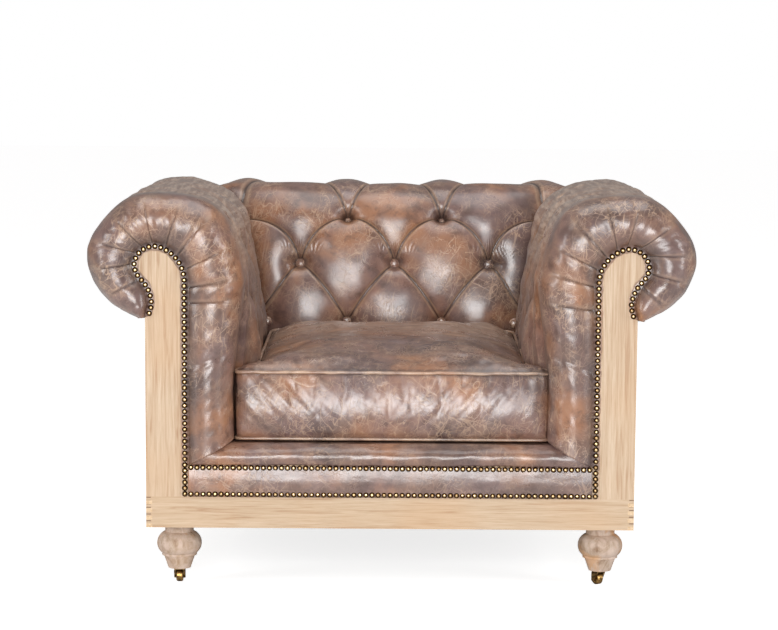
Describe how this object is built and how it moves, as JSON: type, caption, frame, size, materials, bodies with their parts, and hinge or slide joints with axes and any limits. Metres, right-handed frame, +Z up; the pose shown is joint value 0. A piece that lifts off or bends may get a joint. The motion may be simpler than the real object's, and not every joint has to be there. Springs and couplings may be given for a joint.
{
  "type": "club armchair",
  "caption": "Deep-buttoned leather club armchair: rolled arms, open oak front frame with nailed borders, loose piped cushion and turned legs on swivel casters.",
  "frame": {"origin": "on the floor under the middle of the overall box", "axes": "+X to the right seen from the front, +Y to the back, +Z up"},
  "size_m": [1.18, 0.9499, 0.768],
  "materials": {
    "oak": "pale, waxed, open grain",
    "limed_oak": "limed and rubbed back",
    "hidden_timber": "plain sawn",
    "leather": "distressed, waxed, scuffed pale at the folds",
    "outside_leather": "flat panel over board",
    "button_leather": "covered buttons",
    "piping_leather": "worn pale cord",
    "nail_brass": "antiqued, rubbed bright on top",
    "caster_brass": "aged",
    "wheel_brass": "aged",
    "webbing": "woven jute",
    "lining_cloth": "plain black cloth"
  },
  "bodies": {
    "chair": {"arm_buttons": "button_leather", "arm_facing_left": "hidden_timber", "arm_facing_right": "hidden_timber", "arm_front_pad_left": "leather", "arm_front_pad_right": "leather", "arm_lining_left": "hidden_timber", "arm_lining_right": "hidden_timber", "arm_nails_left": "nail_brass", "arm_nails_right": "nail_brass", "arm_pad_left": "leather", "arm_pad_right": "leather", "arm_roll_core_left": "hidden_timber", "arm_roll_core_right": "hidden_timber", "arm_shelf_left": "hidden_timber", "arm_shelf_right": "hidden_timber", "back_buttons": "button_leather", "back_lining": "hidden_timber", "back_pad": "leather", "back_post_left": "hidden_timber", "back_post_right": "hidden_timber", "back_roll_core": "hidden_timber", "back_shelf": "hidden_timber", "caster_plates": "caster_brass", "corner_blocks": "hidden_timber", "dust_cover": "lining_cloth", "front_border": "leather", "front_nails": "nail_brass", "front_plinth": "oak", "front_post_left": "oak", "front_post_right": "oak", "legs": "limed_oak", "outside_arm_panel_left": "outside_leather", "outside_arm_panel_right": "outside_leather", "outside_back_panel": "outside_leather", "rear_plinth": "oak", "seat_deck": "lining_cloth", "seat_front_rail": "hidden_timber", "seat_lip": "leather", "seat_rear_rail": "hidden_timber", "seat_side_rail_left": "hidden_timber", "seat_side_rail_right": "hidden_timber", "seat_webbing": "webbing", "side_plinth_left": "oak", "side_plinth_right": "oak"},
    "cushion": {"seat_cushion": "leather", "cushion_piping": "piping_leather"},
    "caster_front_left": {"caster_fork_front_left": "caster_brass"},
    "wheel_front_left": {"caster_wheel_front_left": "wheel_brass"},
    "caster_front_right": {"caster_fork_front_right": "caster_brass"},
    "wheel_front_right": {"caster_wheel_front_right": "wheel_brass"},
    "caster_rear_left": {"caster_fork_rear_left": "caster_brass"},
    "wheel_rear_left": {"caster_wheel_rear_left": "wheel_brass"},
    "caster_rear_right": {"caster_fork_rear_right": "caster_brass"},
    "wheel_rear_right": {"caster_wheel_rear_right": "wheel_brass"}
  },
  "joints": [
    {"name": "cushion_slide", "type": "slide", "parent": "chair", "child": "cushion", "axis": [0, -1, 0], "range_m": [0, 0.65]},
    {"name": "swivel_front_left", "type": "hinge", "parent": "chair", "child": "caster_front_left", "pos_m": [-0.415, -0.399, 0.03], "axis": [0, 0, 1], "continuous": true},
    {"name": "roll_front_left", "type": "hinge", "parent": "caster_front_left", "child": "wheel_front_left", "pos_m": [-0.415, -0.392, 0.0125], "axis": [1, 0, 0], "continuous": true},
    {"name": "swivel_front_right", "type": "hinge", "parent": "chair", "child": "caster_front_right", "pos_m": [0.415, -0.399, 0.03], "axis": [0, 0, 1], "continuous": true},
    {"name": "roll_front_right", "type": "hinge", "parent": "caster_front_right", "child": "wheel_front_right", "pos_m": [0.41098, -0.39327, 0.0125], "axis": [0.8192, 0.5736, 0], "continuous": true},
    {"name": "swivel_rear_left", "type": "hinge", "parent": "chair", "child": "caster_rear_left", "pos_m": [-0.415, 0.3, 0.03], "axis": [0, 0, 1], "continuous": true},
    {"name": "roll_rear_left", "type": "hinge", "parent": "caster_rear_left", "child": "wheel_rear_left", "pos_m": [-0.41204, 0.30634, 0.0125], "axis": [0.9063, -0.4226, 0], "continuous": true},
    {"name": "swivel_rear_right", "type": "hinge", "parent": "chair", "child": "caster_rear_right", "pos_m": [0.415, 0.3, 0.03], "axis": [0, 0, 1], "continuous": true},
    {"name": "roll_rear_right", "type": "hinge", "parent": "caster_rear_right", "child": "wheel_rear_right", "pos_m": [0.41319, 0.30676, 0.0125], "axis": [0.9659, 0.2588, 0], "continuous": true}
  ]
}
